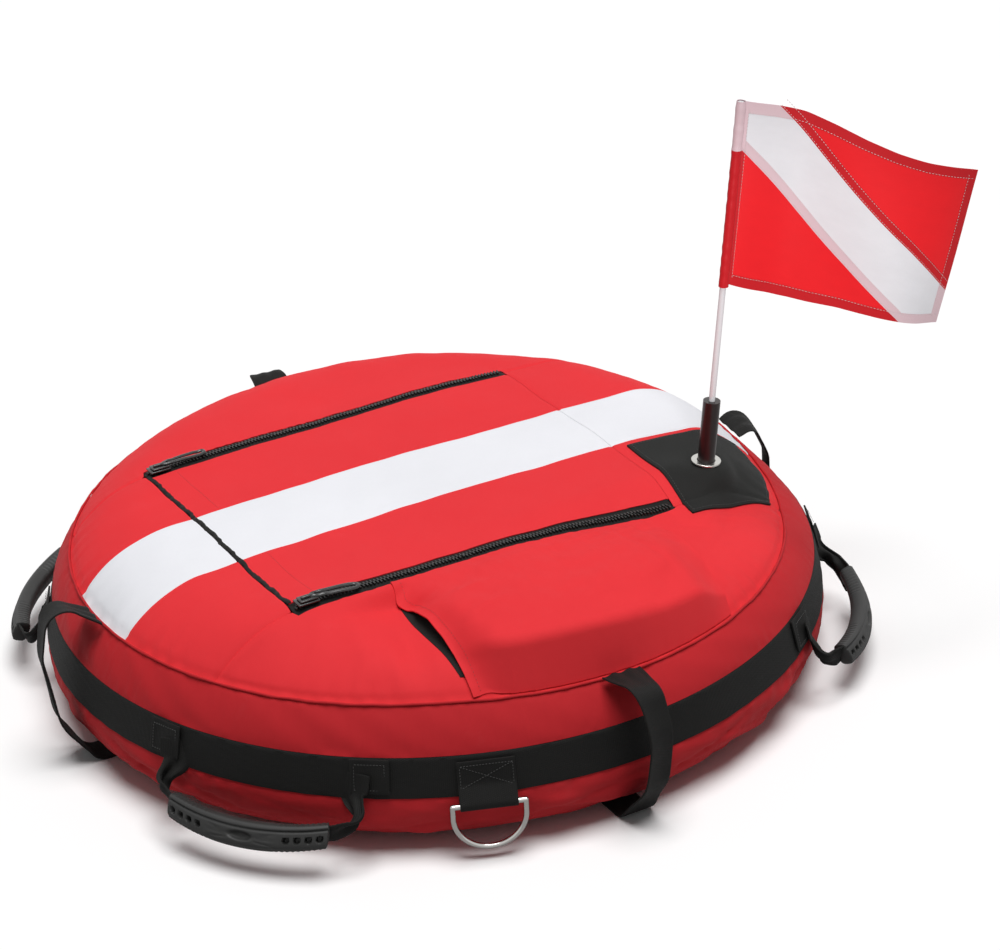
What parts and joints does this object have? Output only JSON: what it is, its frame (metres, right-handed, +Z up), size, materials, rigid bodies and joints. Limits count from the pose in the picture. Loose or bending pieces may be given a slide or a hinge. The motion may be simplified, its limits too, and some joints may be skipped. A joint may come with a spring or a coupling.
{
  "type": "freediving buoy",
  "caption": "Round fabric-covered diving float with a zipped top flap, strap handles, rubber grips, D-rings and a dive flag on a mast.",
  "frame": {"origin": "on the floor under the buoy's centre, at the hole of the line ring", "axes": "+X along the white stripe towards the mast's end, -Y the side with the pocket, +Z up"},
  "size_m": [0.9543, 0.892, 0.5927],
  "materials": {
    "cover_red": "coated polyester canvas",
    "cover_white": "coated polyester canvas",
    "base_black": "coated polyester canvas",
    "tube": "smooth inner tube",
    "lining": "plain woven lining",
    "webbing": "woven webbing",
    "zip_tape": "moulded teeth on woven tape",
    "zip_metal": "black enamelled",
    "patch": "smooth closed-cell sheet",
    "holder": "extruded tube",
    "grommet": "plated",
    "pole": "smooth rod",
    "flag_red": "woven polyester",
    "flag_white": "woven polyester",
    "steel": "polished stainless wire",
    "grip": "moulded, matt"
  },
  "bodies": {
    "buoy": {"air_tube": "tube", "compartment_lining": "lining", "bottom_panel": "base_black", "side_lower": "cover_red", "waist_band": "webbing", "side_upper": "cover_red", "rim_piping": "cover_red", "panel_front": "cover_red", "panel_rear": "cover_red", "end_panels": "cover_red", "end_stripes": "cover_white", "zips_fixed": "zip_tape", "side_pocket": "cover_red", "mast_patch": "patch", "mast_holder": "holder", "mast_grommet": "grommet", "strap_front": "webbing", "strap_right": "webbing", "strap_rear": "webbing", "strap_left": "webbing", "keel_webs": "webbing", "line_ring": "steel", "dring_tabs": "webbing", "grip_tabs": "webbing"},
    "flap": {"flap_panels": "cover_red", "flap_stripe": "cover_white", "flap_binding": "webbing", "zips_flap": "zip_tape", "zip_sliders": "zip_metal"},
    "mast": {"mast_pole": "pole"},
    "flag": {"flag_sleeve": "flag_red", "flag_white": "flag_white", "flag_red": "flag_red"},
    "grip_front_left": {"grip_front_left_rubber": "grip", "grip_front_left_webs": "webbing"},
    "grip_front_right": {"grip_front_right_rubber": "grip", "grip_front_right_webs": "webbing"},
    "grip_rear_right": {"grip_rear_right_rubber": "grip", "grip_rear_right_webs": "webbing"},
    "grip_rear_left": {"grip_rear_left_rubber": "grip", "grip_rear_left_webs": "webbing"},
    "dring_front": {"dring_front": "steel"},
    "dring_rear": {"dring_rear": "steel"}
  },
  "joints": [
    {"name": "flap_hinge", "type": "hinge", "parent": "buoy", "child": "flap", "pos_m": [0.19, 0, 0.201], "axis": [0, -1, 0], "range_deg": [-100, 0]},
    {"name": "mast_slide", "type": "slide", "parent": "buoy", "child": "mast", "axis": [0.0911, -0.0512, 0.9945], "range_m": [0, 0.06]},
    {"name": "flag_swivel", "type": "hinge", "parent": "mast", "child": "flag", "pos_m": [0.27834, -0.15636, 0.49526], "axis": [0.0911, -0.0512, 0.9945], "continuous": true},
    {"name": "grip_front_left_hinge", "type": "hinge", "parent": "buoy", "child": "grip_front_left", "pos_m": [-0.3188, -0.24462, 0.0641], "axis": [-0.6088, 0.7934, 0], "range_deg": [0, 95]},
    {"name": "grip_front_right_hinge", "type": "hinge", "parent": "buoy", "child": "grip_front_right", "pos_m": [0.3188, -0.24462, 0.0641], "axis": [-0.6088, -0.7934, 0], "range_deg": [0, 95]},
    {"name": "grip_rear_right_hinge", "type": "hinge", "parent": "buoy", "child": "grip_rear_right", "pos_m": [0.3188, 0.24462, 0.0641], "axis": [0.6088, -0.7934, 0], "range_deg": [0, 95]},
    {"name": "grip_rear_left_hinge", "type": "hinge", "parent": "buoy", "child": "grip_rear_left", "pos_m": [-0.3188, 0.24462, 0.0641], "axis": [0.6088, 0.7934, 0], "range_deg": [0, 95]},
    {"name": "dring_front_hinge", "type": "hinge", "parent": "buoy", "child": "dring_front", "pos_m": [-0.15182, -0.38543, 0.061], "axis": [-0.9304, 0.3665, 0], "range_deg": [-15, 165]},
    {"name": "dring_rear_hinge", "type": "hinge", "parent": "buoy", "child": "dring_rear", "pos_m": [0.15182, 0.38543, 0.061], "axis": [0.9304, -0.3665, 0], "range_deg": [-15, 165]}
  ]
}
